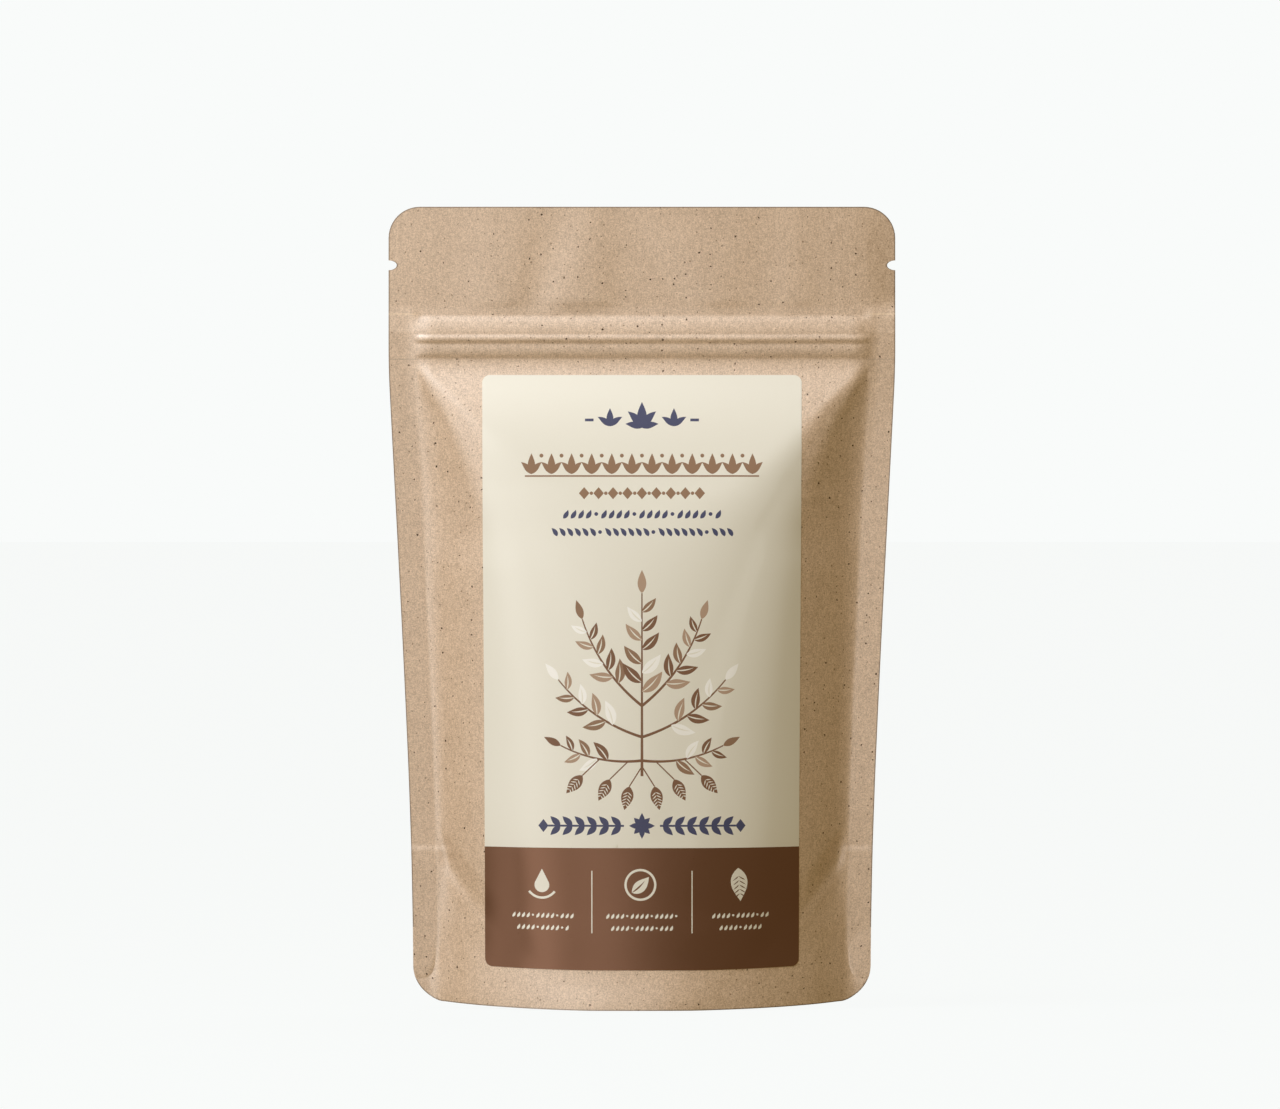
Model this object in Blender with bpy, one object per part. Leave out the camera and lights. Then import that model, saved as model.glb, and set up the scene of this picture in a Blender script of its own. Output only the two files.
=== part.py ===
"""A filled stand-up pouch of kraft paper, with a label, a press-to-close zip and alder cones in it.

Metres, +Z up. The origin is on the floor under the middle of the pouch, and the front faces -Y.

The panels, the gusset and the label are sheets cut from a flat pattern, where s runs across the
sheet from its middle line and v runs up it from its lower edge. Formulas bend that pattern to the
filled shape. Lengths in the formulas are millimetres, and MM turns them into metres.
"""

import math
import random

import bmesh
import bpy
import numpy as np
from mathutils import Euler, Matrix, Vector
from mathutils.bvhtree import BVHTree

MM = 0.001

# Flat pattern of a panel
HALF_WIDTH = 65.0
HEIGHT = 205.7
TOP_CORNER = 8.0
BASE_CORNER = 10.0
SIDE_SEAL = 6.5
SEAL_EDGE = HALF_WIDTH - SIDE_SEAL
NOTCH_HEIGHT = 190.7
NOTCH_REACH = 1.25
NOTCH_DEPTH = 2.1
SQUEEZED_BEYOND = 52.0

# Sheets and the gaps between bonded ones
WALL = 0.2
LAYER_PITCH = 0.3
LABEL_WALL = 0.1
LABEL_PITCH = 0.3

# Gusset: the fold stands 40 mm up in the side seals and sags to RIDGE in the middle
GUSSET_DEPTH = 40.0
SKIRT = 6.0
SLANT_START = 31.5
FOLD_ABOVE_SEAL = 1.5
SPLAY = 6.8
SPLAY_HEIGHTS = (6, 16)
RIDGE = 28.0
FOLD_RADIUS = 1.0
FOLD_ANGLES = (45, 90, 135)
FREE_ROWS = 5
HANDLE_SHARE = 0.28
SKIRT_SLACK = 0.15
GUSSET_FOOT = 0.3

# Filled shape
BODY_DEPTH = 20.8
BASE_DRAWN_IN = 2.4
ROUND_ABOVE = 1.85
SQUARER_BELOW = 1.35
TOP_DEPTH = 21.6
TOP_RUN = 40.0
CREASE_DEPTH = 1.1
CREASE_REACH = 4.5
EDGE_LIFT = 3.4
EDGE_LIFT_TOP = 60
FLAT_REST = 12.0

# Zip band
ZIP_FOOT = 166.5
ZIP_TOP = 178.2
ZIP_MIDDLE = 172.3
ZIP_DEPTH = 1.7
ZIP_RIDGE = 0.6
ZIP_RIDGE_REACH = 1.3
ZIP_CRUSH = (57.8, 59.6)
ZIP_LENGTH = 111.8
FLANGE = 0.25
FLANGE_PITCH = 0.36

# Label
LABEL_HALF_WIDTH = 41.0
LABEL_FOOT = 10.3
LABEL_TOP = 162.9
LABEL_CORNER_CUT = 0.5

# Columns and rows of the panels' mesh
HALF_COLUMNS = (12, 24, 33, LABEL_HALF_WIDTH, 47, 52, 56, SEAL_EDGE, 62, HALF_WIDTH)
FOOT_ROWS = (0, 1.2, 3.2, SKIRT, LABEL_FOOT)
SEAL_ROWS = (0.12, 0.35, 0.7, 1.0)
LOWEST_SLANT = 16.0
LEVEL_ROW = 48.0
RISE_ROWS = (0.12, 0.4, 1.0)
BODY_ROWS = (62, 78, 95, 112, 127, 139, 149, 157, LABEL_TOP, ZIP_FOOT)
FLANGE_ROWS = (169.2, 170.8, 171.6, ZIP_MIDDLE, 173.0, 174.2, 176)
ZIP_ROWS = (167.8, *FLANGE_ROWS, 177.2, ZIP_TOP)
HEADER_ROWS = (184, 189.4, 190.1, NOTCH_HEIGHT, 191.3, 192, 197.7, 200.7, 203.2, 205, HEIGHT)

# Cones, and the heap they lie in: height of each layer, depth of its rows and its half length
CONE_LENGTH = 18.0
CONE_WIDTH = 12.8
CONE_RINGS = 6
CONE_SIDES = 6
SCALE_RELIEF = 0.07
HEAP_SEED = 11
HEAP_STEP = 14.6
HEAP_LAYERS = (
    (22.0, (-11, 11), 24),
    (32.0, (-11, 11), 31),
    (42.5, (-10.5, 0, 10.5), 38),
    (53.0, (-5.5, 5.5), 24),
)
HEAP_CLEARANCE = 0.3


def smooth_step(low, high, value):
    """0 below low, 1 above high, and an S between them."""
    t = np.clip((value - low) / (high - low), 0, 1)
    return t * t * (3 - 2 * t)


def smooth_min(first, second, radius):
    """The lesser of two numbers, rounded off where they differ by less than the radius."""
    near = np.clip(1 - np.abs(first - second) / radius, 0, 1)
    return np.minimum(first, second) - radius / 4 * near**2


def seal_line(s):
    """Height of the line along which the gusset leaves the panel: low in the middle, then slanted up."""
    top = GUSSET_DEPTH - FOLD_ABOVE_SEAL
    slope = (top - SKIRT) / (SEAL_EDGE - SLANT_START)
    return np.clip(SKIRT + slope * (np.abs(s) - SLANT_START), SKIRT, top)


def ridge_height(s):
    """The gusset's fold: lowest in the middle, and as high as in the side seals at their inner edge."""
    outwards = np.clip(np.abs(s) / SEAL_EDGE, 0, 1)
    return RIDGE + (GUSSET_DEPTH - RIDGE) * outwards**2.2


def strip_edge(v):
    """Inner edge of the flat side seal. At the lowest corner the layers part, so it runs off the sheet."""
    return SEAL_EDGE + SPLAY * (1 - smooth_step(*SPLAY_HEIGHTS, v))


def bulge(s, v):
    """How far the filled panel swells from the seals.

    The side ramp rises from the side seal as 1 - (1 - q)^p, and is squarer near the base. The top
    ramp rises below the zip as 1 - exp(-depth). The lesser of the two is the swell, so they meet in
    the ridge that runs down from each upper corner. The bonded skirt lies a crease deeper.
    """
    edge = strip_edge(v)
    inwards = np.clip(1 - np.abs(s) / edge, 0, 1)
    power = ROUND_ABOVE + SQUARER_BELOW * (1 - smooth_step(0, 75, v))
    depth = BODY_DEPTH - BASE_DRAWN_IN * (1 - smooth_step(0, 54, v))
    side = depth * (1 - (1 - inwards) ** power)
    top = TOP_DEPTH * (1 - np.exp(-np.clip(ZIP_FOOT - v, 0, None) / TOP_RUN))
    swell = smooth_min(side, top, 0.4 + 0.25 * np.minimum(side, top))
    bonded = 1 - smooth_step(0, CREASE_REACH, v - seal_line(s))
    reach = smooth_step(1, 9, edge - np.abs(s)) * (0.35 + 0.65 * smooth_step(40, 50, np.abs(s)))
    return np.maximum(swell - CREASE_DEPTH * bonded * reach, 0)


def zip_band(v):
    """Print of the zip through the paper: a flat-topped band with one narrow ridge along it."""
    band = smooth_step(167, 170, v) * (1 - smooth_step(174.5, ZIP_TOP, v))
    ridge = np.clip(1 - ((v - ZIP_MIDDLE) / ZIP_RIDGE_REACH) ** 2, 0, 1)
    return ZIP_DEPTH * band + ZIP_RIDGE * ridge**1.5


def half_depth(s, v):
    """Distance from the middle plane of the pouch to the middle of a panel's wall."""
    layers = LAYER_PITCH / 2 + LAYER_PITCH * (1 - smooth_step(41, 42.5, v))
    crushed = 1 - smooth_step(*ZIP_CRUSH, np.abs(s))
    return layers + bulge(s, v) + zip_band(v) * crushed


def drawn_in(s, v):
    """Distance from the middle line in space: the sheet keeps its width, so it draws in as it swells.

    The mean of sqrt(1 - slope^2) over the swollen part, times that part, plus the flat strip's
    share. Under the zip the paper gives in fine wrinkles, so only a share of that shortening shows.
    """
    step = 0.05
    size = np.abs(s)
    swollen = np.minimum(size, strip_edge(v))
    parts = (np.arange(48) + 0.5) / 48
    along = swollen[..., None] * parts
    height = v[..., None]
    slope = (bulge(along + step, height) - bulge(along - step, height)) / (2 * step)
    shortened = 1 - np.sqrt(1 - np.clip(slope**2, 0, 0.9)).mean(axis=-1)
    share = 0.35 + 0.75 * (1 - smooth_step(60, 165, v))
    share += 0.3 * (1 - smooth_step(6, 20, v)) - 0.18 * (1 - smooth_step(20, 60, v))
    return np.sign(s) * (size - swollen * shortened * share)


def edge_lift(s, v):
    """The lower edge is level in the middle and curves up towards the corners."""
    beyond = np.clip(np.abs(s) - FLAT_REST, 0, None) / (HALF_WIDTH - FLAT_REST)
    return EDGE_LIFT * beyond**1.5 * (1 - smooth_step(0, EDGE_LIFT_TOP, v))


def panel_point(s, v):
    """Middle of the front panel's wall, in millimetres."""
    return np.stack([drawn_in(s, v), -half_depth(s, v), v + edge_lift(s, v)], axis=-1)


def panel_normal(s, v):
    """Outward direction of the front panel, from the two slopes of its surface."""
    step = 0.05
    across = panel_point(s + step, v) - panel_point(s - step, v)
    upward = panel_point(s, v + step) - panel_point(s, v - step)
    normal = np.cross(across, upward)
    return normal / np.linalg.norm(normal, axis=-1, keepdims=True)


def offset_point(s, v, outwards):
    """A point beside the front panel, at this distance out from the middle of its wall."""
    return panel_point(s, v) + outwards * panel_normal(s, v)


def half_width(v):
    """Half width of the flat sheet: quarter circles at the corners."""
    above = np.clip(v - (HEIGHT - TOP_CORNER), 0, TOP_CORNER)
    below = np.clip(BASE_CORNER - v, 0, BASE_CORNER)
    top_cut = TOP_CORNER - np.sqrt(TOP_CORNER**2 - above**2)
    base_cut = BASE_CORNER - np.sqrt(BASE_CORNER**2 - below**2)
    return HALF_WIDTH - top_cut - base_cut


def notch(v):
    """How far the tear notch cuts in at this height: half an ellipse."""
    return NOTCH_DEPTH * np.sqrt(np.clip(1 - ((v - NOTCH_HEIGHT) / NOTCH_REACH) ** 2, 0, 1))


def flat_grid():
    """The panel's columns and rows as arrays of s and v.

    Rows are level up to the label's foot, then fan out along the slanted seal line, and are level
    again above it. The outer columns are squeezed to the sheet's outline.
    """
    half = np.array(HALF_COLUMNS, float)
    column = np.concatenate([-half[::-1], [0], half])
    foot = np.outer(FOOT_ROWS, np.ones(len(column)))
    line = np.maximum(seal_line(column), LOWEST_SLANT)
    along_seal = LABEL_FOOT + np.outer(SEAL_ROWS, line - LABEL_FOOT)
    rising = line + np.outer(RISE_ROWS, LEVEL_ROW - line)
    level = np.outer(BODY_ROWS + ZIP_ROWS + HEADER_ROWS, np.ones(len(column)))
    v = np.concatenate([foot, along_seal, rising, level])
    size = np.abs(column)
    squeeze = (half_width(v) - SQUEEZED_BEYOND) / (HALF_WIDTH - SQUEEZED_BEYOND)
    squeezed = np.where(size > SQUEEZED_BEYOND, SQUEEZED_BEYOND + (size - SQUEEZED_BEYOND) * squeeze, size)
    in_strip = np.clip((size - SEAL_EDGE) / SIDE_SEAL, 0, 1)
    return np.sign(column) * (squeezed - notch(v) * in_strip), v


def principled(name, colour, roughness, metallic=0.0):
    material = bpy.data.materials.new(name)
    material.use_nodes = True
    shader = material.node_tree.nodes["Principled BSDF"]
    shader.inputs["Base Color"].default_value = (*colour, 1)
    shader.inputs["Roughness"].default_value = roughness
    shader.inputs["Metallic"].default_value = metallic
    return material


def kraft_paper():
    return principled("kraft_paper", (0.52, 0.38, 0.26), 0.8)


def label_paper():
    return principled("label_paper", (0.88, 0.83, 0.72), 0.45)


def zip_plastic():
    return principled("zip_plastic", (0.82, 0.82, 0.8), 0.35)


def cone_wood():
    return principled("cone_wood", (0.13, 0.075, 0.045), 0.85)


def clear_scene():
    for thing in list(bpy.data.objects):
        bpy.data.objects.remove(thing, do_unlink=True)


def object_from(bm, name, material):
    """Turns a bmesh in metres into a named object in the scene."""
    mesh = bpy.data.meshes.new(name)
    bm.to_mesh(mesh)
    bm.free()
    mesh.materials.append(material)
    thing = bpy.data.objects.new(name, mesh)
    bpy.context.scene.collection.objects.link(thing)
    return thing


def sheet(name, points, wall, material):
    """A wall of even thickness round a grid of points.

    The grid is split into triangles before the wall gets its thickness, so that both faces are split
    alike and two sheets on the same grid stay parallel.
    """
    rows, columns = points.shape[:2]
    bm = bmesh.new()
    bmesh.ops.create_grid(bm, x_segments=columns - 1, y_segments=rows - 1, size=1)
    for vert, place in zip(bm.verts, points.reshape(-1, 3) * MM):
        vert.co = place
    bmesh.ops.triangulate(bm, faces=bm.faces[:], quad_method="FIXED")
    for face in bm.faces:
        face.smooth = True
    thing = object_from(bm, name, material)
    solidify = thing.modifiers.new("wall", "SOLIDIFY")
    solidify.thickness = wall * MM
    solidify.offset = 0
    return thing


def make_panels(paper):
    s, v = flat_grid()
    front = panel_point(s, v)
    turned = front[:, ::-1] * (1, -1, 1)
    return sheet("front_panel", front, WALL, paper), sheet("back_panel", turned, WALL, paper)


def skirt_point(s, v):
    """The gusset's middle where it lies against the panel, with a little slack where there is room."""
    room = np.clip(2 * (half_depth(s, v) - 1.5 * LAYER_PITCH), 0, 1)
    slack = SKIRT_SLACK * room * (1 - smooth_step(16, 26, v))
    return offset_point(s, v, -(LAYER_PITCH + slack)[..., None])


def gusset_half(s, v):
    """The front half of the gusset, from the front's lower edge up to the fold.

    Rows at or below the seal line lie against the panel. The rest follow a curve with one handle
    that leaves the seal inwards and turns up to the fold.
    """
    rows = len(FOOT_ROWS) + len(SEAL_ROWS)
    column = s[rows - 1]
    line = seal_line(column)
    ridge = ridge_height(column)
    room = smooth_step(0, 12, SEAL_EDGE - np.abs(column))
    radius = LAYER_PITCH / 2 + (FOLD_RADIUS - LAYER_PITCH / 2) * room
    points = np.empty((rows + FREE_ROWS, len(column), 3))
    for i in range(len(column)):
        sealed = np.count_nonzero(v[:rows, i] <= line[i] + 0.01)
        heights = np.maximum(v[:sealed, i], GUSSET_FOOT)
        points[:sealed, i] = skirt_point(s[:sealed, i], heights)
        start = points[sealed - 1, i]
        end = np.array([start[0], -radius[i], ridge[i] - radius[i]])
        handle = np.array([start[0], HANDLE_SHARE * start[1], start[2]])
        t = (np.arange(sealed, rows + FREE_ROWS) - sealed + 1)[:, None] / (rows + FREE_ROWS - sealed)
        points[sealed:, i] = (1 - t) ** 2 * start + 2 * t * (1 - t) * handle + t**2 * end
    return points, radius


def make_gusset(paper):
    s, v = flat_grid()
    front, radius = gusset_half(s, v)
    top = front[-1]
    fold = []
    for angle in np.radians(FOLD_ANGLES):
        turned = [0 * radius, radius * (1 - math.cos(angle)), radius * math.sin(angle)]
        fold.append(top + np.stack(turned, axis=-1))
    back = front[::-1] * (1, -1, 1)
    points = np.concatenate([front, fold, back])
    return sheet("bottom_gusset", points, WALL, paper)


def make_label(paper):
    """The label uses the panel's own columns and rows, so it lies parallel to the panel."""
    s, v = flat_grid()
    middle = s.shape[1] // 2
    reach = 1 + HALF_COLUMNS.index(LABEL_HALF_WIDTH)
    first = FOOT_ROWS.index(LABEL_FOOT)
    above = len(FOOT_ROWS) + len(SEAL_ROWS) + len(RISE_ROWS)
    last = above + BODY_ROWS.index(LABEL_TOP)
    area = (slice(first, last + 1), slice(middle - reach, middle + reach + 1))
    s = s[area].copy()
    v = v[area].copy()
    for row, up in ((0, 1), (-1, -1)):
        for column, in_ in ((0, 1), (-1, -1)):
            s[row, column] += in_ * LABEL_CORNER_CUT
            v[row, column] += up * LABEL_CORNER_CUT
    sheet("label", offset_point(s, v, LABEL_PITCH), LABEL_WALL, paper)


def extrude_profile(name, profile, material):
    """A closed (depth, height) outline, swept along the zip's length."""
    bm = bmesh.new()
    left = -ZIP_LENGTH / 2 * MM
    verts = [bm.verts.new((left, depth * MM, height * MM)) for depth, height in profile]
    face = bm.faces.new(verts)
    swept = bmesh.ops.extrude_face_region(bm, geom=[face])
    moved = [item for item in swept["geom"] if isinstance(item, bmesh.types.BMVert)]
    bmesh.ops.translate(bm, verts=moved, vec=(ZIP_LENGTH * MM, 0, 0))
    bmesh.ops.recalc_face_normals(bm, faces=bm.faces[:])
    return object_from(bm, name, material)


def flange_sides():
    """Outer and inner side of the front flange as (depth, height), following the panel's inside."""
    heights = np.array(FLANGE_ROWS)
    depth = half_depth(0 * heights, heights) - FLANGE_PITCH
    outer = list(zip(-depth - FLANGE / 2, heights))
    inner = list(zip(-depth + FLANGE / 2, heights))
    return outer, inner


def make_zip(plastic):
    """Two flanges. The front one has a pair of hooked jaws, and the back one a rib with an arrow head."""
    outer, inner = flange_sides()
    below = [point for point in inner if point[1] < ZIP_MIDDLE - 1]
    above = [point for point in inner if point[1] > ZIP_MIDDLE + 1]
    jaw = [(0.55, 1.25), (0.75, 1.0), (0.35, 0.5), (0.2, 0.5), (0.2, 0.85), (-1.5, 0.85)]
    lower_jaw = [(depth, ZIP_MIDDLE - rise) for depth, rise in jaw]
    upper_jaw = [(depth, ZIP_MIDDLE + rise) for depth, rise in reversed(jaw)]
    root = -1.45
    jaws = [(root, ZIP_MIDDLE - 1.25), *lower_jaw, *upper_jaw, (root, ZIP_MIDDLE + 1.25)]
    extrude_profile("zip_strip_front", outer + above[::-1] + jaws[::-1] + below[::-1], plastic)
    head = [(1.55, 0.2), (0.1, 0.2), (0.1, 0.68), (-0.25, 0.6), (-0.6, 0.15)]
    rib = [(depth, ZIP_MIDDLE - rise) for depth, rise in head]
    rib += [(depth, ZIP_MIDDLE + rise) for depth, rise in reversed(head)]
    low = [(-depth, height) for depth, height in inner if height < ZIP_MIDDLE - 0.5]
    high = [(-depth, height) for depth, height in inner if height > ZIP_MIDDLE + 0.5]
    back_outer = [(-depth, height) for depth, height in outer]
    extrude_profile("zip_strip_back", back_outer + high[::-1] + rib[::-1] + low[::-1], plastic)


def cone_shape():
    """One cone lying along X: an egg-shaped body whose ring points stand out and in by turns as scales."""
    bm = bmesh.new()
    rings = []
    for ring in range(CONE_RINGS):
        along = (ring + 1) / (CONE_RINGS + 1)
        radius = CONE_WIDTH / 2 * math.sin(math.pi * along**0.85) ** 0.6
        verts = []
        for side in range(CONE_SIDES):
            angle = 2 * math.pi * side / CONE_SIDES
            out = radius * (1 + SCALE_RELIEF * (1 if (side + ring) % 2 else -1))
            place = Vector(((along - 0.5) * CONE_LENGTH, out * math.cos(angle), out * math.sin(angle)))
            verts.append(bm.verts.new(place * MM))
        rings.append(verts)
    for first, second in zip(rings, rings[1:]):
        for side in range(CONE_SIDES):
            beside = (side + 1) % CONE_SIDES
            bm.faces.new((first[side], first[beside], second[beside], second[side]))
    for ring, end in ((rings[0], -0.5), (rings[-1], 0.5)):
        tip = bm.verts.new((end * CONE_LENGTH * MM, 0, 0))
        for side in range(CONE_SIDES):
            bm.faces.new((tip, ring[side], ring[(side + 1) % CONE_SIDES]))
    bmesh.ops.recalc_face_normals(bm, faces=bm.faces[:])
    return bm


def heap_places():
    """Where each cone of the heap lies: rows along X in layers, each cone nudged and turned at random.

    Towards the sides a row moves in with the panels, and the middle row climbs with the gusset's fold.
    """
    draw = random.Random(HEAP_SEED)
    places = []
    for height, depths, reach in HEAP_LAYERS:
        count = int(2 * reach / HEAP_STEP) + 1
        for depth in depths:
            for i in range(count):
                x = (i - (count - 1) / 2) * HEAP_STEP + draw.uniform(-0.6, 0.6)
                room = float(half_depth(np.abs(x) + 6.5, np.array(height))) - CONE_WIDTH / 2 - 1.2
                turn = Euler((draw.uniform(0, 6.28), draw.uniform(-0.25, 0.25), draw.uniform(-0.25, 0.25)))
                rise = draw.uniform(-0.6, 0.6)
                if depth == 0:
                    rise += max(0, float(ridge_height(abs(x) + 5)) + CONE_WIDTH / 2 + 6 - height)
                spot = Vector((x, math.copysign(min(abs(depth), room), depth), height + rise)) * MM
                places.append(Matrix.Translation(spot) @ turn.to_matrix().to_4x4())
    return places


def tree_of(thing):
    """A search tree of the object's finished mesh, and points at most 3 mm apart along its edges."""
    bpy.context.view_layer.update()
    mesh = thing.evaluated_get(bpy.context.evaluated_depsgraph_get()).to_mesh()
    corners = [thing.matrix_world @ vert.co for vert in mesh.vertices]
    points = list(corners)
    for edge in mesh.edges:
        start, end = (corners[i] for i in edge.vertices)
        pieces = math.ceil((end - start).length / (3 * MM))
        points += [start.lerp(end, i / pieces) for i in range(1, pieces)]
    faces = [tuple(face.vertices) for face in mesh.polygons]
    return BVHTree.FromPolygons(corners, faces), points


def settle(heap, sheets):
    """Lowers the heap until it lies a hair above the sheets round it."""
    around = [tree_of(thing) for thing in sheets]
    own_tree, own_points = tree_of(heap)

    def clearance(drop):
        down = Vector((0, 0, -drop))
        near = [tree.find_nearest(point + down)[3] for tree, _ in around for point in own_points]
        near += [own_tree.find_nearest(point - down)[3] for _, points in around for point in points]
        return min(near)

    drop = 0.0
    for step in (2 * MM, 0.5 * MM, 0.1 * MM):
        while clearance(drop + step) > HEAP_CLEARANCE * MM:
            drop += step
    heap.data.transform(Matrix.Translation((0, 0, -drop)))


def make_cones(wood, sheets):
    """The cones are joined to one body where they touch, and then set down on the gusset."""
    bm = cone_shape()
    pattern = bpy.data.meshes.new("cone")
    bm.to_mesh(pattern)
    bm.free()
    loose = bpy.data.collections.new("loose_cones")
    first = None
    for i, place in enumerate(heap_places()):
        mesh = pattern.copy()
        mesh.transform(place)
        thing = bpy.data.objects.new(f"cone_{i}", mesh)
        if first:
            loose.objects.link(thing)
        else:
            first = thing
            bpy.context.scene.collection.objects.link(thing)
    bpy.context.scene.collection.children.link(loose)
    union = first.modifiers.new("join", "BOOLEAN")
    union.operation = "UNION"
    union.operand_type = "COLLECTION"
    union.collection = loose
    union.solver = "EXACT"
    bpy.context.view_layer.update()
    joined = bpy.data.meshes.new_from_object(first.evaluated_get(bpy.context.evaluated_depsgraph_get()))
    for thing in [first, *loose.objects]:
        bpy.data.objects.remove(thing, do_unlink=True)
    bpy.data.collections.remove(loose)
    joined.materials.clear()
    joined.materials.append(wood)
    heap = bpy.data.objects.new("alder_cones", joined)
    bpy.context.scene.collection.objects.link(heap)
    settle(heap, sheets)


def build():
    clear_scene()
    paper = kraft_paper()
    panels = make_panels(paper)
    gusset = make_gusset(paper)
    make_label(label_paper())
    make_zip(zip_plastic())
    make_cones(cone_wood(), [*panels, gusset])


build()
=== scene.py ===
"""Looks of a filled stand-up pouch of kraft paper with a printed label.

The sheets are cut from a flat pattern, where s runs across the sheet from its middle line and v runs
up it from its lower edge, in millimetres. Formulas bend that pattern to the filled shape, and MM
turns the result into metres. The front faces -Y, and side is -1 on the front panel and 1 on the back.
"""

import math

import bmesh
import bpy
import numpy as np
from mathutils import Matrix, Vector
from mathutils.geometry import delaunay_2d_cdt


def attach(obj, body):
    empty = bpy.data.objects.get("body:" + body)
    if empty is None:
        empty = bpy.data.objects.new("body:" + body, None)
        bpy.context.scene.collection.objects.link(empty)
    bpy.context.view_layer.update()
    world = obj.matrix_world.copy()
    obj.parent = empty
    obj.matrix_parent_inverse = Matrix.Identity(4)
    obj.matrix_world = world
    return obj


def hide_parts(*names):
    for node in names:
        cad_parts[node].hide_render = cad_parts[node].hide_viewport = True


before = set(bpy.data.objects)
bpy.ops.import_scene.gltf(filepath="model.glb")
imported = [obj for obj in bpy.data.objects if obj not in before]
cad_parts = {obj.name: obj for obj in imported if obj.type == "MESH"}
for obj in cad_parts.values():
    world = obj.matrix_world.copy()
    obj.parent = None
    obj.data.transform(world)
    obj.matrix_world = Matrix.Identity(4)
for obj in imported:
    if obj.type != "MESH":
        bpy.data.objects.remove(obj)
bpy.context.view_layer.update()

MM = 0.001

# Flat pattern of a panel
HALF_WIDTH = 65.0
HEIGHT = 205.7
TOP_CORNER = 8.0
BASE_CORNER = 8.5
SIDE_SEAL = 6.5
SEAL_EDGE = HALF_WIDTH - SIDE_SEAL
NOTCH_HEIGHT = 190.7
NOTCH_REACH = 1.25
NOTCH_DEPTH = 2.1
SQUEEZED_BEYOND = 52.0

# Sheets and the gaps between bonded ones
WALL = 0.2
LAYER_PITCH = 0.3
LABEL_WALL = 0.08
LABEL_PITCH = 0.16

# Gusset
GUSSET_DEPTH = 40.0
SKIRT = 6.0
SLANT_START = 31.5
FOLD_ABOVE_SEAL = 1.5
SPLAY = 3.0
SPLAY_HEIGHTS = (1, 19)
STRIP_FOOT = 7.4
STRIP_CORNER = 4.4
STRIP_STEP = 0.3
STRIP_RUN = 3.5
RIDGE = 28.0
FOLD_RADIUS = 1.0
HANDLE_SHARE = 0.28
SKIRT_SLACK = 0.15
GUSSET_FOOT = 0.3
FOOT_FLARE = 1.8
FOOT_LEFT = (-42, -8)
FOOT_RIGHT = (4, 24)

# Filled shape
BODY_DEPTH = 20.8
BASE_DRAWN_IN = 2.0
ROUND_ABOVE = 1.85
SQUARER_BELOW = 0.3
FACETED_BELOW = 0.3
FACET_ROUND = 18.0
SQUARER_ABOVE = 0.6
TOP_DEPTH = 21.6
TOP_RUN = 40.0
TOP_ROUND = 3.0
CREASE_DEPTH = 1.0
CREASE_REACH = 9.0
CREASE_TOP = (55.9, 39.0)
EDGE_LIFT = 2.5
EDGE_LIFT_TOP = 60
FLAT_REST = 12.0

# How far the cut edges draw in at each height, and the reach over which the line is rounded
EDGE_HEIGHTS = (0, 19, 40, 60, 81, 101, 122, 142, 164)
EDGE_INSETS = (6.35, 6.2, 5.8, 5.14, 4.2, 3.24, 2.17, 1.11, 0.0)
EDGE_ROUND = 5.0

# Zip band
ZIP_FOOT = 166.7
SWELL_HEIGHTS = (135, 166.8, 173.5, 180)
SWELL_DEPTHS = (0.0, 1.2, 1.49, 0.0)
SWELL_ENDS = (54, 61)
SWELL_IN_SEAL = 0.45
ZIP_HEIGHTS = (166.8, 167.8, 168.5, 169.5, 170.6, 171.5, 172.1, 173.0, 174.8, 176.3, 177.8, 180.0)
ZIP_RIDGES = (0.0, 0.24, 0.31, 0.31, 0.16, 0.45, 0.45, -0.02, 0.05, -0.05, -0.31, 0.0)
ZIP_ENDS = (56.4, 59.4)
ZIP_ROUND = 0.3
ZIP_MIDDLE = 172.4
ZIP_LENGTH = 111.8
ZIP_CUTS = 41
FLANGE = 0.25
FLANGE_PITCH = 0.36
CONE_GAP = 0.5

# How far the draw moves to the sides, and the step over which slopes are taken
DRAW_POWER = 8.0
DRAW_BEYOND = 3.0
SLOPE_STEP = 0.25

# Label
LABEL_HALF_WIDTH = 41.0
LABEL_FOOT = 10.3
LABEL_TOP = 162.5
LABEL_CORNER = 2.0
BAND_TOP = 41.6
PRINT_STEP = 1.2

# Waves across the header: middle, width and height of each soft step towards the viewer, and how far
# its middle moves across for each millimetre up
HEADER_STEPS = (
    (-43.0, 5.0, 0.45, 0.0),
    (-29.0, 3.6, -0.55, 0.16),
    (-20.8, 4.0, 0.75, 0.3),
    (-9.0, 4.5, -0.65, 0.0),
    (7.0, 5.0, 0.55, -0.7),
    (27.0, 6.0, -0.45, 0.2),
    (36.0, 5.0, 0.35, 0.0),
    (43.0, 4.0, -0.4, 0.0),
    (61.0, 5.0, -1.3, -0.1),
)
HEADER_MIDDLE = 192.0
BOW = 1.5
LEAN = 0.5
BOW_HEIGHTS = (105, 200)


def smooth_step(low, high, value):
    """0 below low, 1 above high, and an S between them."""
    t = np.clip((value - low) / (high - low), 0, 1)
    return t * t * (3 - 2 * t)


def smooth_min(first, second, radius):
    """The lesser of two numbers, rounded off where they differ by less than the radius."""
    near = np.clip(1 - np.abs(first - second) / radius, 0, 1)
    return np.minimum(first, second) - radius / 4 * near**2


def seal_line(s):
    """Height of the line along which the gusset leaves the panel: low in the middle, then slanted up."""
    top = GUSSET_DEPTH - FOLD_ABOVE_SEAL
    slope = (top - SKIRT) / (SEAL_EDGE - SLANT_START)
    return np.clip(SKIRT + slope * (np.abs(s) - SLANT_START), SKIRT, top)


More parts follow.
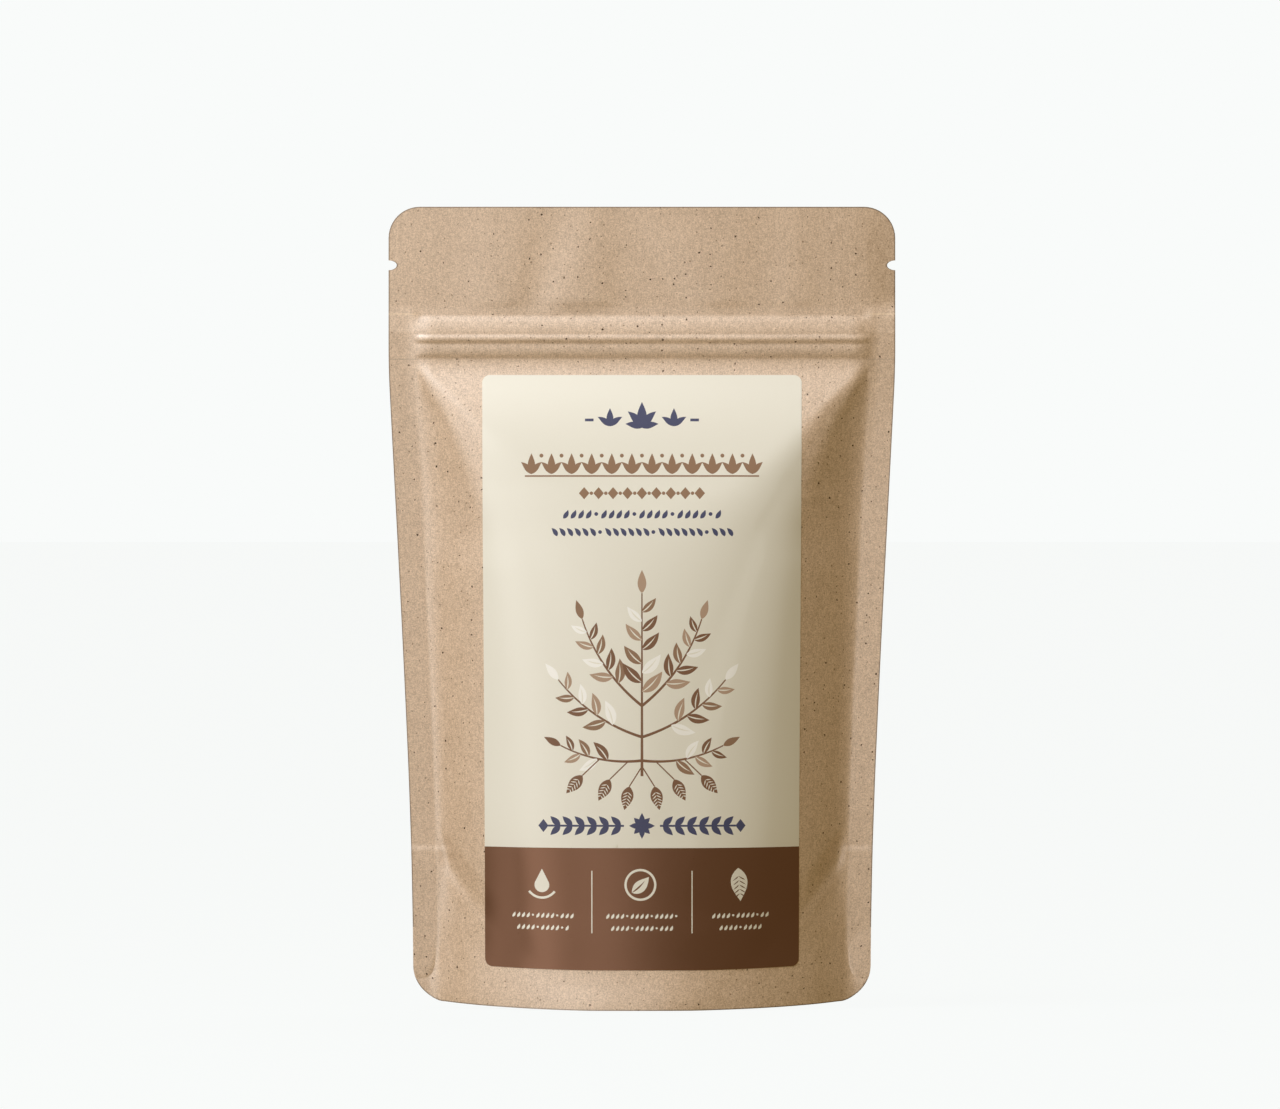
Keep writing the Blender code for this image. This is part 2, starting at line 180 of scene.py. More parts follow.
def ridge_height(s):
    """The gusset's fold: lowest in the middle, and as high as in the side seals at their inner edge."""
    outwards = np.clip(np.abs(s) / SEAL_EDGE, 0, 1)
    return RIDGE + (GUSSET_DEPTH - RIDGE) * outwards**2.2


def strip_edge(v):
    """Inner edge of the flat side seal. At the lowest corner the layers part, so it runs off the sheet."""
    return SEAL_EDGE + SPLAY * (1 - smooth_step(*SPLAY_HEIGHTS, v))


def seal_round(v):
    """How softly the sheet leaves the side seal: softer over the gusset and in the upper part, crisp at the zip."""
    return 3.8 + 1.2 * (1 - smooth_step(30, 46, v)) + 1.7 * smooth_step(112, 124, v) - 3.3 * smooth_step(150, 163, v)


def eased(distance, radius):
    """A distance that starts level and gains its full slope after about this radius."""
    return np.sqrt(distance**2 + radius**2) - radius


def bulge(s, v):
    """How far the filled panel swells from the seals.

    The side ramp rises from the side seal as 1 - (1 - q)^p, and turns towards flat flanks that meet in a
    round front near the base. The top ramp rises below the zip as 1 - exp(-depth). The lesser of the
    two is the swell, so they meet in the ridge that runs down from each upper corner. The bonded skirt
    lies a crease deeper, deepest along a line that slants at 45 degrees just above its seal line.
    """
    edge = strip_edge(v)
    radius = seal_round(v)
    inwards = eased(np.clip(edge - np.abs(s), 0, None), radius) / eased(edge, radius)
    power = ROUND_ABOVE + SQUARER_BELOW * (1 - smooth_step(0, 75, v)) + SQUARER_ABOVE * smooth_step(115, 160, v)
    depth = BODY_DEPTH - BASE_DRAWN_IN * (1 - smooth_step(0, 54, v))
    facets = FACETED_BELOW * (1 - smooth_step(0, 95, v))
    flanks = 1 - eased((1 - inwards) * SEAL_EDGE, FACET_ROUND) / eased(SEAL_EDGE, FACET_ROUND)
    side = depth * ((1 - facets) * (1 - (1 - inwards) ** power) + facets * flanks)
    top = TOP_DEPTH * (1 - np.exp(-eased(np.clip(ZIP_FOOT - v, 0, None), TOP_ROUND) / TOP_RUN))
    sharper = 0.13 * smooth_step(10, 40, s) * smooth_step(110, 145, v)
    swell = smooth_min(side, top, 0.5 + (0.6 - sharper) * np.minimum(side, top))
    above = v - np.clip(CREASE_TOP[1] - CREASE_TOP[0] + np.abs(s), SKIRT, CREASE_TOP[1])
    below = 0.4 * smooth_step(0, CREASE_REACH / 2, -above) + 0.6 * smooth_step(0, 2 * CREASE_REACH, -above)
    bonded = (1 - smooth_step(0, CREASE_REACH, above)) * (1 - below)
    reach = smooth_step(0.5, 5, edge - np.abs(s)) * (0.15 + 0.85 * smooth_step(38, 51, np.abs(s)))
    return np.maximum(swell - CREASE_DEPTH * bonded * reach, 0)


def rounded(value, places, amounts, reach):
    """Straight lines between points, rounded off by the mean over this reach to both sides."""
    shifts = np.linspace(-reach, reach, 7)
    return sum(np.interp(value + shift, places, amounts) for shift in shifts) / len(shifts)


def zip_swell(v):
    return rounded(v, SWELL_HEIGHTS, SWELL_DEPTHS, ZIP_ROUND)


def zip_band(s, v):
    """Print of the zip through the paper: a soft swell that fades out at the sides, and ridges that end sharply."""
    swell = zip_swell(v) * (1 - smooth_step(*SWELL_ENDS, np.abs(s)))
    ridges = rounded(v, ZIP_HEIGHTS, ZIP_RIDGES, ZIP_ROUND) * (1 - smooth_step(*ZIP_ENDS, np.abs(s)))
    return np.maximum(swell + ridges, 0)


def strip_foot(s, v):
    """The small step at the foot of each side strip, which ends in a round corner: its distance is a rectangle's."""
    x = SEAL_EDGE + STRIP_CORNER - np.abs(s)
    y = STRIP_FOOT + STRIP_CORNER - v
    away = np.hypot(np.maximum(x, 0), np.maximum(y, 0)) + np.minimum(np.maximum(x, y), 0) - STRIP_CORNER
    return STRIP_STEP * smooth_step(0, STRIP_RUN, away) * (1 - smooth_step(18, 27, v))


def half_depth(s, v):
    """Distance from the middle surface of the pouch to the middle of a panel's wall.

    In the side seals the gusset's two layers lie between the panels, up to its fold. The foot flares a
    little in the middle, and at each lower corner the layers part along an arc.
    """
    beside = smooth_step(49, 57, np.abs(s)) * (1 - smooth_step(40, 41.2, v))
    foot = FOOT_FLARE * (1 - smooth_step(-2, 13, v)) * smooth_step(*FOOT_LEFT, s) * (1 - smooth_step(*FOOT_RIGHT, s))
    return LAYER_PITCH * (0.5 + beside) + bulge(s, v) + foot + strip_foot(s, v) + zip_band(s, v)


def drawn_in(s, v):
    """Distance from the middle line in space: the sheet keeps its width, so it draws in as it swells.

    Each place takes the share u^p (1 + p (1 - u)) of the cut edge's draw, where u runs from 0 in the middle
    to 1 in the side seal, so the steep flanks take most of it.
    """
    u = np.clip(np.abs(s) / (SEAL_EDGE + DRAW_BEYOND), 0, 1)
    share = u**DRAW_POWER * (1 + DRAW_POWER * (1 - u))
    return np.sign(s) * (np.abs(s) - share * rounded(v, EDGE_HEIGHTS, EDGE_INSETS, EDGE_ROUND))


def edge_lift(s, v):
    """The lower edge is level in the middle and curves up towards the corners."""
    beyond = np.clip(np.abs(s) - FLAT_REST, 0, None) / (HALF_WIDTH - FLAT_REST)
    return EDGE_LIFT * beyond**1.5 * (1 - smooth_step(0, EDGE_LIFT_TOP, v))


def sway(s, v):
    """How far both panels lean to the viewer together.

    Soft slanted steps run across the header, towards the top the whole sheet bows, its sides back, and
    the side seals lean back at their feet. Beside the zip they stand forward by a share of its swell,
    and the right one turns a little to the light below it.
    """
    steps = 0
    for middle, width, height, slant in HEADER_STEPS:
        steps = steps + height * 0.5 * (1 + np.tanh((s - middle - slant * (v - HEADER_MIDDLE)) / width))
    fade = smooth_step(177, 182, v) * (1 - 0.45 * smooth_step(184, 206, v))
    bent = np.where(s > 0, 1.0, 0.3) * (s / HALF_WIDTH) ** 2
    corner = LEAN * smooth_step(42, 66, np.abs(s)) * (1 - smooth_step(0, 44, v))
    forward = SWELL_IN_SEAL * zip_swell(v) * smooth_step(*SWELL_ENDS, np.abs(s))
    forward = forward + 0.035 * np.clip(s - 54, 0, None) * smooth_step(40, 60, v) * (1 - smooth_step(140, 165, v))
    return steps * fade - corner + forward + BOW * (0.3 - bent) * smooth_step(*BOW_HEIGHTS, v)


def panel_point(s, v, side=-1):
    """Middle of a panel's wall, in millimetres."""
    depth = side * half_depth(s, v) - sway(s, v)
    return np.stack([drawn_in(s, v), depth, v + edge_lift(s, v)], axis=-1)


def panel_normal(s, v, side=-1):
    """Outward direction of a panel, from the two slopes of its surface."""
    step = SLOPE_STEP
    across = panel_point(s + step, v, side) - panel_point(s - step, v, side)
    upward = panel_point(s, v + step, side) - panel_point(s, v - step, side)
    normal = -side * np.cross(across, upward)
    return normal / np.linalg.norm(normal, axis=-1, keepdims=True)


def half_width(v):
    """Half width of the flat sheet: quarter circles at the corners."""
    above = np.clip(v - (HEIGHT - TOP_CORNER), 0, TOP_CORNER)
    below = np.clip(BASE_CORNER - v, 0, BASE_CORNER)
    top_cut = TOP_CORNER - np.sqrt(TOP_CORNER**2 - above**2)
    base_cut = BASE_CORNER - np.sqrt(BASE_CORNER**2 - below**2)
    return HALF_WIDTH - top_cut - base_cut


def notch(v):
    """How far the tear notch cuts in at this height: half an ellipse."""
    return NOTCH_DEPTH * np.sqrt(np.clip(1 - ((v - NOTCH_HEIGHT) / NOTCH_REACH) ** 2, 0, 1))


def squeezed(column, v):
    """The outer columns are squeezed to the sheet's outline, corners and tear notches included."""
    size = np.abs(column)
    squeeze = (half_width(v) - SQUEEZED_BEYOND) / (HALF_WIDTH - SQUEEZED_BEYOND)
    size_in = np.where(size > SQUEEZED_BEYOND, SQUEEZED_BEYOND + (size - SQUEEZED_BEYOND) * squeeze, size)
    in_strip = np.clip((size - SEAL_EDGE) / SIDE_SEAL, 0, 1)
    return np.sign(column) * (size_in - notch(v) * in_strip)


def stretches(*ends_and_steps):
    """Values from the first end on, each stretch cut into steps of about the size that follows its end."""
    values = [np.array([ends_and_steps[0]], float)]
    for start, (end, step) in zip((ends_and_steps[0], *[e for e, _ in ends_and_steps[1:]]), ends_and_steps[1:]):
        count = math.ceil((end - start) / step - 1e-9)
        values.append(start + (end - start) * np.arange(1, count + 1) / count)
    return np.concatenate(values)


def panel_columns():
    half = stretches(0.0, (41, 1.1), (57, 0.75), (60, 0.3), (HALF_WIDTH, 0.7))
    return np.concatenate([-half[:0:-1], half])


def panel_rows():
    """Rows are close where the sheet bends sharply, and follow the arcs of the corners and notches."""
    arc = np.sin(np.linspace(0, math.pi / 2, 13))
    base = BASE_CORNER * (1 - arc[::-1])
    notch_rows = NOTCH_HEIGHT + NOTCH_REACH * np.sin(np.linspace(-math.pi / 2, math.pi / 2, 17))
    below = stretches(BASE_CORNER, (46, 0.6), (150, 1.0), (165, 0.75), (180, 0.32), (NOTCH_HEIGHT - NOTCH_REACH, 0.9))
    above = stretches(NOTCH_HEIGHT + NOTCH_REACH, (HEIGHT - TOP_CORNER, 0.8))
    top = HEIGHT - TOP_CORNER + TOP_CORNER * arc
    return np.concatenate([base, below[1:], notch_rows[1:], above[1:], top[1:]])


def grid_faces(rows, columns, first=0):
    """Quads of a grid whose points are numbered row by row from first."""
    index = first + np.arange(rows * columns).reshape(rows, columns)
    corners = index[:-1, :-1], index[:-1, 1:], index[1:, 1:], index[1:, :-1]
    return np.stack([corner.ravel() for corner in corners], axis=1)


def rim_faces(loop, other):
    """Quads between two closed rings of point numbers, whose first one runs anticlockwise seen from outside."""
    return np.stack([np.roll(loop, -1), loop, other, np.roll(other, -1)], axis=1)


def edge_distance(s, v):
    """Distance from the sheet's cut edge: that of a rectangle with round corners, less at the notches."""
    round_by = np.where(v > HEIGHT / 2, TOP_CORNER, BASE_CORNER)
    x = np.abs(s) - HALF_WIDTH + round_by
    y = np.abs(v - HEIGHT / 2) - HEIGHT / 2 + round_by
    away = np.hypot(np.maximum(x, 0), np.maximum(y, 0)) + np.minimum(np.maximum(x, y), 0)
    return np.minimum(round_by - away, HALF_WIDTH - notch(v) - np.abs(s))


def mesh_object(name, points, faces, pattern, material, node):
    """A piece from points in millimetres and equal-sided faces, with the flat pattern as its UV map."""
    mesh = bpy.data.meshes.new(name)
    count, sides = faces.shape
    mesh.vertices.add(len(points))
    mesh.vertices.foreach_set("co", (points * MM).astype(np.float32).ravel())
    mesh.loops.add(count * sides)
    mesh.loops.foreach_set("vertex_index", faces.astype(np.int32).ravel())
    mesh.polygons.add(count)
    mesh.polygons.foreach_set("loop_start", np.arange(count, dtype=np.int32) * sides)
    mesh.polygons.foreach_set("use_smooth", np.ones(count, bool))
    layer = mesh.uv_layers.new(name="flat_pattern")
    layer.uv.foreach_set("vector", (pattern[faces.ravel()] * MM).astype(np.float32).ravel())
    mesh.update(calc_edges=True)
    mesh.validate()
    mesh.set_sharp_from_angle(angle=math.radians(40))
    mesh.materials.append(material)
    thing = bpy.data.objects.new(name, mesh)
    bpy.context.scene.collection.objects.link(thing)
    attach(thing, "root")
    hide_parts(node)
    return thing


def wall_of(name, middle, normal, wall, pattern, material, node):
    """A closed wall round a grid of middle points: both faces and the rim that joins them."""
    rows, columns = middle.shape[:2]
    count = rows * columns
    outer = (middle + wall / 2 * normal).reshape(-1, 3)
    inner = (middle - wall / 2 * normal).reshape(-1, 3)
    index = np.arange(count).reshape(rows, columns)
    loop = np.concatenate([index[0, :-1], index[:-1, -1], index[-1, :0:-1], index[:0:-1, 0]])
    outside = grid_faces(rows, columns)
    inside = grid_faces(rows, columns, count)[:, ::-1]
    faces = np.concatenate([outside, inside, rim_faces(loop, loop + count)])
    flat = pattern.reshape(-1, 2)
    points = np.concatenate([outer, inner])
    return mesh_object(name, points, faces, np.concatenate([flat, flat]), material, node)


def grid_normals(points):
    """Outward directions of a grid from the differences between its neighbours."""
    normal = np.cross(np.gradient(points, axis=1), np.gradient(points, axis=0))
    return normal / np.linalg.norm(normal, axis=-1, keepdims=True)


def mark_edges(thing, s, v):
    """Keeps each point's distance from the cut edge, in millimetres, for the paper's dark rim."""
    distance = np.clip(edge_distance(s, v), 0, 9).ravel()
    rim = thing.data.attributes.new("edge", "FLOAT", "POINT")
    rim.data.foreach_set("value", np.concatenate([distance, distance]).astype(np.float32))


def make_panels(paper):
    column = panel_columns()
    v = np.outer(panel_rows(), np.ones(len(column)))
    s = squeezed(column, v)
    front = panel_point(s, v, -1)
    pattern = np.stack([s, v], axis=-1)
    sheet = wall_of("front_sheet", front, grid_normals(front), WALL, pattern, paper, "front_panel")
    mark_edges(sheet, s, v)
    back = panel_point(s, v, 1)[:, ::-1]
    pattern = np.stack([s[:, ::-1], v], axis=-1)
    sheet = wall_of("back_sheet", back, grid_normals(back), WALL, pattern, paper, "back_panel")
    mark_edges(sheet, s[:, ::-1], v)


def skirt_point(s, v):
    """The gusset's middle where it lies against the panel, with a little slack where there is room."""
    room = np.clip(2 * (half_depth(s, v) - 1.5 * LAYER_PITCH), 0, 1)
    slack = SKIRT_SLACK * room * (1 - smooth_step(16, 26, v))
    return panel_point(s, v) - (LAYER_PITCH + slack)[..., None] * panel_normal(s, v)


def make_gusset(paper):
    """The bottom gusset: a skirt against each panel, and free film that arches up to the fold between them.

    The free film follows a quadratic curve with one handle, which leaves the seal inwards and turns
    up to the fold, and the fold itself is a half circle.
    """
    column = panel_columns()
    line = seal_line(column)
    share = np.linspace(0, 1, 34)[:, None] ** 0.8
    v = GUSSET_FOOT + share * (line - GUSSET_FOOT)
    s = squeezed(column, v)
    skirt = skirt_point(s, v)
    start = skirt[-1]
    radius = LAYER_PITCH / 2 + (FOLD_RADIUS - LAYER_PITCH / 2) * smooth_step(0, 12, SEAL_EDGE - np.abs(column))
    end = np.stack([start[:, 0], -radius, ridge_height(column) - radius], axis=-1)
    handle = start * (1, HANDLE_SHARE, 1)
    t = np.linspace(0, 1, 25)[1:, None, None]
    free = (1 - t) ** 2 * start + 2 * t * (1 - t) * handle + t**2 * end
    angle = np.linspace(0, math.pi, 9)[1:-1, None]
    across = np.broadcast_to(end[:, 0], (len(angle), len(column)))
    fold = np.stack([across, -radius * np.cos(angle), end[:, 2] + radius * np.sin(angle)], axis=-1)
    front = np.concatenate([skirt, free])
    points = np.concatenate([front, fold, front[::-1] * (1, -1, 1)])
    length = np.concatenate([0 * column[None], np.linalg.norm(np.diff(points, axis=0), axis=-1)]).cumsum(axis=0)
    pattern = np.stack([points[..., 0] + 600, length], axis=-1)
    sheet = wall_of("gusset_sheet", points, grid_normals(points), WALL, pattern, paper, "bottom_gusset")
    mark_edges(sheet, 0 * length, length + 9)


def swept(name, outline, material, node):
    """A closed (depth, height) outline swept across the pouch, which leans and thins with the panels."""
    count = len(outline)
    depth, height = np.array(outline).T
    x = np.linspace(-ZIP_LENGTH / 2, ZIP_LENGTH / 2, ZIP_CUTS)[:, None]
    depth = depth * half_depth(x, height) / half_depth(0 * x, height)
    points = np.stack(np.broadcast_arrays(x, depth - sway(x, height), height), axis=-1).reshape(-1, 3)
    ring = np.arange(count)
    faces = [ring[::-1].tolist(), (ring + count * (ZIP_CUTS - 1)).tolist()]
    for start in range(0, count * (ZIP_CUTS - 1), count):
        near = ring + start
        after = np.roll(near, -1)
        faces += np.stack([near, after, after + count, near + count], axis=1).tolist()
    mesh = bpy.data.meshes.new(name)
    mesh.from_pydata((points * MM).tolist(), [], faces)
    bm = bmesh.new()
    bm.from_mesh(mesh)
    bmesh.ops.recalc_face_normals(bm, faces=bm.faces[:])
    bm.to_mesh(mesh)
    bm.free()
    mesh.materials.append(material)
    thing = bpy.data.objects.new(name, mesh)
    bpy.context.scene.collection.objects.link(thing)
    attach(thing, "root")
    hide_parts(node)


def make_zips(plastic):
    """Two flanges behind the panels: the front one holds two hooked jaws, the back one a rib with a head."""
    heights = np.linspace(169.2, 176, 18)
    depth = half_depth(0 * heights, heights) - FLANGE_PITCH
    outer = list(zip(depth + FLANGE / 2, heights))
    inner = list(zip(depth - FLANGE / 2, heights))
    root = np.interp((ZIP_MIDDLE - 1.25, ZIP_MIDDLE, ZIP_MIDDLE + 1.25), heights, depth).min()
    jaw = [(-0.4, 1.25), (-0.55, 1.0), (-0.25, 0.5), (-0.15, 0.5), (-0.15, 0.85), (root, 0.85)]
    jaws = [(root, 1.25 - 2.5), *[(d, -h) for d, h in jaw], *[(d, h) for d, h in jaw[::-1]], (root, 1.25)]
    head = [(-root, 0.2), (-0.05, 0.2), (-0.05, 0.65), (0.15, 0.6), (0.4, 0.15)]
    rib = [(d, -h) for d, h in head] + [(d, h) for d, h in head[::-1]]
    front = outer + [p for p in inner[::-1] if p[1] > ZIP_MIDDLE + 1.25]
    front += [(d, ZIP_MIDDLE + h) for d, h in jaws[::-1]] + [p for p in inner[::-1] if p[1] < ZIP_MIDDLE - 1.25]
    swept("zip_jaws", [(-d, h) for d, h in front], plastic, "zip_strip_front")
    back = outer + [p for p in inner[::-1] if p[1] > ZIP_MIDDLE + 0.2]
    back += [(-d, ZIP_MIDDLE + h) for d, h in rib[::-1]] + [p for p in inner[::-1] if p[1] < ZIP_MIDDLE - 0.2]
    swept("zip_rib", back, plastic, "zip_strip_back")


def make_cones(wood):
    """The frame's heap of cones as a piece of its own: points that the rounder panels leave out are drawn in."""
    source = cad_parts["alder_cones"]
    mesh = source.data.copy()
    mesh.transform(source.matrix_world)
    place = np.empty(3 * len(mesh.vertices))
    mesh.vertices.foreach_get("co", place)
    x, y, z = place.reshape(-1, 3).T / MM
    across = 2 * np.abs(x) - drawn_in(np.abs(x), z)
    depth = smooth_min(np.abs(y), half_depth(across, z) - CONE_GAP, 1.0)
    inside = np.stack([x, np.sign(y) * depth, z], axis=-1) * MM
    mesh.vertices.foreach_set("co", inside.astype(np.float32).ravel())
    mesh.materials.clear()
    mesh.materials.append(wood)
    thing = bpy.data.objects.new("cone_heap", mesh)
    bpy.context.scene.collection.objects.link(thing)
    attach(thing, "root")
    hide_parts("alder_cones")


def ribbon(path, half):
    """Outline of a shape along a path of points, with its half width at each of them."""
    along = np.gradient(path, axis=0)
    along /= np.linalg.norm(along, axis=1, keepdims=True)
    beside = np.stack([-along[:, 1], along[:, 0]], axis=1) * half[:, None]
    return np.concatenate([path - beside, (path + beside)[::-1]])


def leaf(base, angle, length, width, bend=0.0):
    """A pointed leaf: its midrib is an arc, and its half width is sin(pi t^0.8), nothing at both ends."""
    t = np.linspace(0, 1, 15)
    turn = angle + bend * (t - 0.5)
    steps = np.stack([np.cos(turn), np.sin(turn)], axis=1) * length / 14
    path = np.array(base) + np.concatenate([[(0, 0)], steps[1:].cumsum(axis=0)])
    outline = ribbon(path, width / 2 * np.sin(math.pi * t**0.8))
    return np.delete(outline, [15, 29], axis=0)


def disc(centre, radius, sides=24):
    angle = np.arange(sides) * 2 * math.pi / sides
    return np.array(centre) + radius * np.stack([np.cos(angle), np.sin(angle)], axis=1)


def drop(centre, radius, tip):
    """A drop: a circle whose upper half is drawn out to a point at this height above its centre."""
    angle = np.linspace(math.pi * 0.85, math.pi * 2.15, 24)
    round_part = radius * np.stack([np.cos(angle), np.sin(angle)], axis=1)
    return np.array(centre) + np.concatenate([round_part, [(0, tip)]])


def bar(start, end, width):
    """A straight stroke with square ends."""
    path = np.array([start, end], float)
    return ribbon(path, np.full(2, width / 2))


def lozenge(centre, half_across, half_up):
    return np.array(centre) + np.array([(half_across, 0), (0, half_up), (-half_across, 0), (0, -half_up)], float)


def mirrored(outline):
    return (outline * (-1, 1))[::-1]


INKS = {
    "paper": (0.775, 0.785, 0.74),
    "band": (0.213, 0.110, 0.072),
    "navy": (0.050, 0.061, 0.150),
    "taupe": (0.27, 0.165, 0.105),
    "brown": (0.19, 0.095, 0.055),
    "tan": (0.42, 0.30, 0.225),
    "white": (0.93, 0.96, 0.99),
    "cream": (0.775, 0.785, 0.74),
}


def fan(base, leaves):
    """Leaves that rise from one point: each is (lean from upright in degrees, length, width), and mirrored."""
    shapes = []
    for lean, length, width in leaves:
        for side in (-1, 1) if lean else (1,):
            bend = -0.5 * side if lean else 0.0
            shapes.append(leaf(base, math.radians(90 - side * lean), length, width, bend))
    return shapes


def rope(level, half, pitch, size, lean, dots=5):
    """A row of small slanted leaves, in which every few places hold a dot instead."""
    angle = math.radians(lean)
    count = round(2 * half / pitch)
    shapes = []
    for i in range(count):
        x = (i - (count - 1) / 2) * pitch
        if i % dots == dots - 1:
            shapes.append(disc((x, level), size * 0.19, 12))
        else:
            base = (x - size / 2 * math.cos(angle), level - size / 2 * math.sin(angle))
            shapes.append(leaf(base, angle, size, size * 0.44, 0.7))
    return shapes


# How metallic the dark ink is, which tints its sheen
BAND_SHEEN = 0.75


def top_ornament():
    """Navy: three fans of leaves, the middle one largest, between two short rules."""
    shapes = fan((0, 149.0), ((0, 6.6, 2.5), (40, 5.6, 2.1), (76, 4.4, 1.7)))
    for x in (-8.2, 8.2):
        shapes += fan((x, 149.4), ((0, 4.6, 1.8), (52, 4.0, 1.5)))
    rule = bar((12.4, 151.0), (14.6, 151.0), 0.7)
    return [("navy", shape) for shape in (*shapes, rule, mirrored(rule))]


def frieze():
    """Taupe: a row of upright sprouts with dots between their tips, over a fine rule."""
    shapes = [bar((-30.0, 136.7), (30.0, 136.7), 0.4)]
    for i in range(12):
        x = (i - 5.5) * 5.15
        shapes += fan((x, 137.2), ((0, 5.3, 1.9), (40, 4.1, 1.5)))
        if i < 11:
            shapes.append(disc((x + 2.575, 141.9), 0.5, 14))
    return [("taupe", shape) for shape in shapes]


def lozenge_row():
    """Taupe: lozenges and dots by turns."""
    shapes = []
    for i in range(-4, 5):
        shapes.append(lozenge((3.7 * i, 132.3), 1.35, 1.55))
        if i < 4:
            shapes.append(disc((3.7 * i + 1.85, 132.3), 0.45, 12))
    return [("taupe", shape) for shape in shapes]


def ropes():
    """Navy: two rows of slanted leaves that lean to opposite sides."""
    shapes = rope(127.0, 20.8, 1.95, 2.6, 58) + rope(122.4, 23.0, 1.95, 2.6, 122, 7)
    return [("navy", shape) for shape in shapes]


def branch(start, angle, length, bend, leaf_size, inks, bare):
    """A bent twig: past its bare share, leaves in the given inks stand by turns on both sides, one at its end."""
    count = 40
    turn = angle + bend * (np.linspace(0, 1, count) - 0.5)
    steps = np.stack([np.cos(turn), np.sin(turn)], axis=1) * length / count
    path = np.array(start) + steps.cumsum(axis=0) - steps[0]
    shapes = [("brown", ribbon(path, np.linspace(0.36, 0.16, count)))]
    number = round(length * (1 - bare) / (leaf_size * 0.4))
    for i in range(number):
        k = round((bare + (0.96 - bare) * i / number) * (count - 1))
        side = 1 if i % 2 else -1
        size = leaf_size * (1.0 - 0.35 * i / number)
        heading = turn[k] + side * math.radians(46)
        ink = inks[i % len(inks)]
        shapes.append((ink, leaf(path[k], heading, size, size * 0.4, -0.5 * side)))
        shapes.append(("paper", leaf(path[k], heading, size * 0.8, 0.34, -0.5 * side)))
    shapes.append((inks[0], leaf(path[-1], turn[-1], leaf_size * 0.8, leaf_size * 0.3)))
    return shapes


def small_cone(base, angle, length, ink, gap):
    """A cone drawn as an oval of scales: rows of short leaves to both sides of its middle line."""
    along = np.array([math.cos(angle), math.sin(angle)])
    shapes = [(ink, leaf(base, angle, length, length * 0.5))]
    for i in range(1, 6):
        at = np.array(base) + along * length * (0.12 + 0.13 * i)
        for side in (-1, 1):
            shapes.append((gap, leaf(at, angle + side * 0.95, length * 0.24, 0.26)))
    return shapes


def spray():
    """An alder spray: an upright twig, side twigs with leaves, and small cones that hang on short stalks."""
    shapes = []
    for side in (-1, 1):
        inks = ("tan", "brown", "white", "taupe") if side < 0 else ("brown", "taupe", "white", "tan", "brown")
        for foot, lean, length, size, bare in ((64, 80, 22, 6.0, 0.42), (70, 56, 27, 6.6, 0.3), (78, 35, 28, 6.4, 0.3)):
            inks = inks[1:] + inks[:1]
            angle = math.pi / 2 - side * math.radians(lean)
            shapes += branch((0, foot), angle, length, side * 0.6, size, inks, bare)
        for top, x, y, lean in (((0, 62.5), 3.2, 57.4, 12), ((3.6, 63.7), 8.2, 59.2, 28), ((11.0, 64.2), 15.2, 60.2, 42)):
            shapes.append(("brown", bar((side * top[0], top[1]), (side * x, y), 0.32)))
            shapes += small_cone((side * x, y), math.radians(-90 + side * lean), 6.2, "brown", "paper")
    shapes += branch((0, 60.0), math.pi / 2, 48, 0.0, 7.4, ("tan", "brown", "white", "taupe", "brown"), 0.46)
    return shapes


def lower_ornament():
    """Navy: leaf pairs along a rule to both sides of a flower, with a lozenge at each end."""
    half = [bar((4.6, 47.3), (24.0, 47.3), 0.5)]
    for i in range(6):
        for up in (-1, 1):
            half.append(leaf((5.4 + 3.1 * i, 47.3), up * math.radians(44), 3.5, 1.6))
    half.append(lozenge((25.2, 47.3), 1.3, 1.7))
    petals = [leaf((0, 47.3), math.radians(45 * i), 2.9 if i % 2 else 3.3, 1.5) for i in range(8)]
    return [("navy", shape) for shape in (*half, *map(mirrored, half), *petals)]


def band_pictograms():
    """Cream on the brown band: a drop over a dish, a leaf in a ring and a cone, each over a short rope."""
    shapes = [("cream", drop((-25.6, 32.0), 1.9, 4.2)), ("cream", disc((-0.4, 32.2), 4.1, 36))]
    dish = np.linspace(-0.85, 0.85, 15)
    bowl = np.stack([-25.6 + 4.4 * np.sin(dish), 33.6 - 4.9 * np.cos(dish)], axis=1)
    shapes.append(("cream", ribbon(bowl, np.full(15, 0.3))))
    shapes += [("band", disc((-0.4, 32.2), 3.5, 36)), ("cream", leaf((-2.6, 30.2), math.radians(42), 6.0, 3.0, 0.4))]
    shapes.append(("band", leaf((-2.6, 30.2), math.radians(42), 4.6, 0.42, 0.4)))
    shapes += small_cone((24.6, 36.4), math.radians(-86), 8.6, "cream", "band")
    shapes += [("cream", bar((x, 19.8), (x, 35.8), 0.28)) for x in (-12.8, 12.8)]
    for x, half in ((-25.4, 8.2), (0.0, 9.6), (25.2, 7.4)):
        for level, reach in ((24.2, half), (21.1, half - 1.6)):
            shapes += [("cream", shape + (x, 0)) for shape in rope(level, reach, 1.25, 1.55, 60)]
    return shapes


def print_shapes():
    """Each printed shape as (ink, outline), where a later one lies over an earlier one."""
    edge = LABEL_HALF_WIDTH + 1
    band = np.array([(-edge, LABEL_FOOT - 1), (edge, LABEL_FOOT - 1), (edge, BAND_TOP), (-edge, BAND_TOP)])
    shapes = [("band", band)]
    for group in (top_ornament, frieze, lozenge_row, ropes, spray, lower_ornament, band_pictograms):
        shapes += group()
    return shapes


def cut_short(outline):
    """Adds points to a closed outline, so that its edges follow the curved panel."""
    parts = []
    for start, end in zip(outline, np.roll(outline, -1, axis=0)):
        count = max(math.ceil(np.linalg.norm(end - start) / PRINT_STEP), 1)
        parts.append(start + (end - start) * (np.arange(count) / count)[:, None])
    return np.concatenate(parts)


